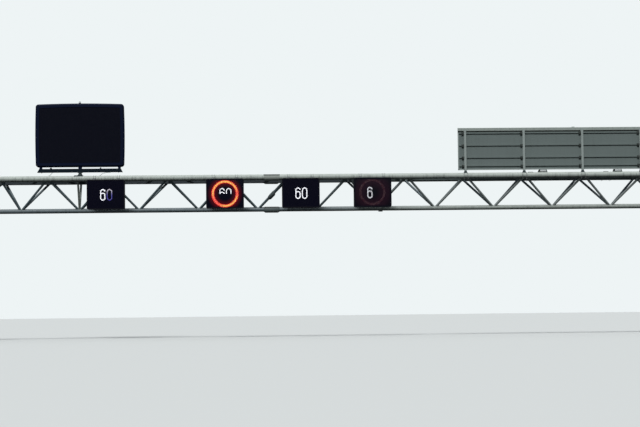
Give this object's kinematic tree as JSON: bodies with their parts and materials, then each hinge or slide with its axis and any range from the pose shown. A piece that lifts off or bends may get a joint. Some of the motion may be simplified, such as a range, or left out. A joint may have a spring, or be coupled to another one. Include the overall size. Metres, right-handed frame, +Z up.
{
  "type": "overhead sign gantry",
  "caption": "Triangular tube truss on braced column legs over a carriageway, with lane signals, a message sign and a back-turned direction sign.",
  "frame": {"origin": "ground level under the middle of the span, halfway between the front and rear top chords", "axes": "+X along the span, to the right for a driver who passes under it; +Y the direction of travel; +Z up"},
  "size_m": [39.5, 2.9, 11.253],
  "materials": {
    "gantry_paint": "weathered pale green-grey paint, satin",
    "sleeve_grey": "weathered mid grey paint, satin",
    "galvanised_steel": "dull galvanised",
    "signal_black": "matt black",
    "display_black": "matt black display panel",
    "case_black": "satin blue-black",
    "dark_steel_paint": "satin dark grey",
    "sign_back_grey": "matt slate grey-green, blue sheeting on the far side",
    "sign_trim_grey": "matt mid grey",
    "lamp_grey": "satin grey with a glass lens",
    "gear_dark": "matt dark grey",
    "detector_grey": "matt"
  },
  "bodies": {
    "root": {"top_chord_front_left": "gantry_paint", "top_chord_front_right": "gantry_paint", "top_chord_rear_left": "gantry_paint", "top_chord_rear_right": "gantry_paint", "bottom_chord_left": "gantry_paint", "bottom_chord_right": "gantry_paint", "web_front_left": "gantry_paint", "web_front_right": "gantry_paint", "web_rear_left": "gantry_paint", "web_rear_right": "gantry_paint", "top_lacing_left": "gantry_paint", "top_lacing_right": "gantry_paint", "splice_sleeves": "sleeve_grey", "cable_tray": "galvanised_steel", "left_leg_columns": "gantry_paint", "right_leg_columns": "gantry_paint", "left_leg_bracing": "gantry_paint", "right_leg_bracing": "gantry_paint", "left_leg_base_plates": "gantry_paint", "right_leg_base_plates": "gantry_paint", "left_leg_heads": "gantry_paint", "right_leg_heads": "gantry_paint", "left_truss_seat": "gantry_paint", "right_truss_seat": "gantry_paint", "signal_cases": "signal_black", "signal_faces": "display_black", "signal_hangers": "galvanised_steel", "message_case": "case_black", "message_face": "display_black", "message_doors": "case_black", "message_feet": "case_black", "message_beam": "dark_steel_paint", "message_post": "dark_steel_paint", "message_cross_beam": "dark_steel_paint", "message_struts": "gantry_paint", "message_lifting_eye": "dark_steel_paint", "sign_board": "sign_back_grey", "sign_cap": "sign_trim_grey", "sign_rails": "sign_back_grey", "sign_posts": "sign_trim_grey", "sign_feet": "dark_steel_paint", "lamp_heads": "lamp_grey", "lamp_arms": "galvanised_steel", "lamp_gear_boxes": "gear_dark", "chord_detector": "detector_grey"}
  },
  "joints": []
}
